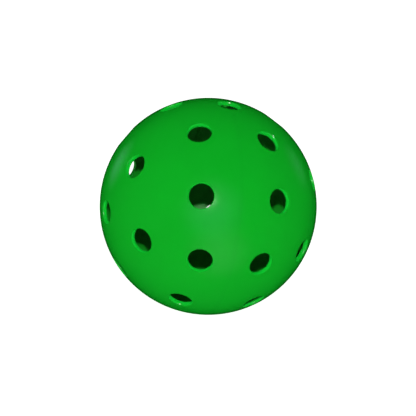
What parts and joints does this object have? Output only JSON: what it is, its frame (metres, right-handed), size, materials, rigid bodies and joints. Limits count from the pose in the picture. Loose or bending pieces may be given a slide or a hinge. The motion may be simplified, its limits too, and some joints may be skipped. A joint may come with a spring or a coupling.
{
  "type": "pickleball ball",
  "caption": "Hollow green moulded plastic ball for pickleball, welded from two half shells and drilled with an even pattern of round holes.",
  "frame": {"origin": "centre of the ball", "axes": "+Z through the upper pole hole of the hole pattern; the half shells meet on the YZ plane; +X points into the right half shell"},
  "size_m": [0.074, 0.0742, 0.0736],
  "materials": {
    "shell_plastic": "satin moulded polyethylene, mid green all through",
    "weld_plastic": "re-set polyethylene of the weld, trimmed flush outside and left as a low bead inside"
  },
  "bodies": {
    "root": {"shell_left": "shell_plastic", "shell_right": "shell_plastic", "weld_front": "weld_plastic", "weld_back": "weld_plastic", "weld_top_bridge": "weld_plastic"}
  },
  "joints": []
}
